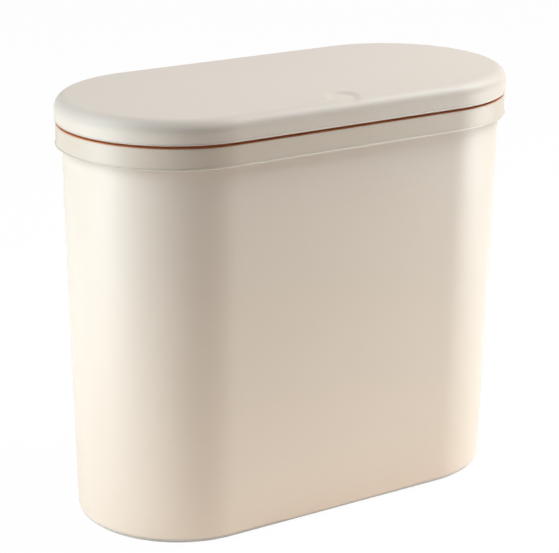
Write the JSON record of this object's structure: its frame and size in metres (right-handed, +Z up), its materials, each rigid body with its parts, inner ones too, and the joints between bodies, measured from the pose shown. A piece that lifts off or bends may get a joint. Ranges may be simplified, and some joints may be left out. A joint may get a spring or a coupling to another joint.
{
  "type": "push top countertop bin",
  "caption": "Slim oval countertop bin with a lift-off collar, a brown seal and a hinged press-to-open lid on a push latch.",
  "frame": {"origin": "middle of the base, on the surface that the bin stands on", "axes": "+Z up, +X along the length, -Y towards the front with the finger dimple, hinge on the +Y side"},
  "size_m": [0.306, 0.147, 0.27],
  "materials": {
    "body_plastic": "satin warm cream, finely grained",
    "frame_plastic": "matt cream",
    "seal": "matt copper brown",
    "soft_pad": "matt dark grey",
    "latch_plastic": "fine-grained dark grey",
    "slider_plastic": "natural white, slightly waxy",
    "steel": "bright zinc"
  },
  "bodies": {
    "bucket": {"bucket": "body_plastic", "base_pads": "soft_pad"},
    "collar": {"collar": "body_plastic", "seal_ring": "seal", "hinge_pin_left": "steel", "hinge_pin_right": "steel", "hinge_spring_left": "steel", "hinge_spring_right": "steel", "hinge_cover_left": "frame_plastic", "hinge_cover_right": "frame_plastic", "latch_housing": "latch_plastic", "latch_cover": "latch_plastic", "latch_spring": "steel", "latch_screws": "steel"},
    "latch_slider": {"latch_slider": "slider_plastic"},
    "cam_link": {"cam_link": "steel"},
    "lid": {"lid_cover": "body_plastic", "lid_frame": "frame_plastic", "striker": "latch_plastic", "striker_screws": "steel", "lid_screws": "steel", "lid_bumpers": "soft_pad"}
  },
  "joints": [
    {"name": "collar_lift", "type": "slide", "parent": "bucket", "child": "collar", "axis": [0, 0, 1], "range_m": [0, 0.06]},
    {"name": "lid_hinge", "type": "hinge", "parent": "collar", "child": "lid", "pos_m": [0, 0.068, 0.2453], "axis": [-1, 0, 0], "range_deg": [-0.6, 85]},
    {"name": "latch_slide", "type": "slide", "parent": "collar", "child": "latch_slider", "axis": [0, 0, 1], "range_m": [-0.0015, 0], "stiffness_N_per_m": 300, "deforming": ["latch_spring"]},
    {"name": "cam_swing", "type": "hinge", "parent": "collar", "child": "cam_link", "pos_m": [0, -0.05392, 0.22262], "axis": [0, 1, 0], "range_deg": [0, 5.6]}
  ],
  "couplings": [
    {"joint": "cam_swing", "follows": "latch_slide", "rad_per_m": -61}
  ]
}
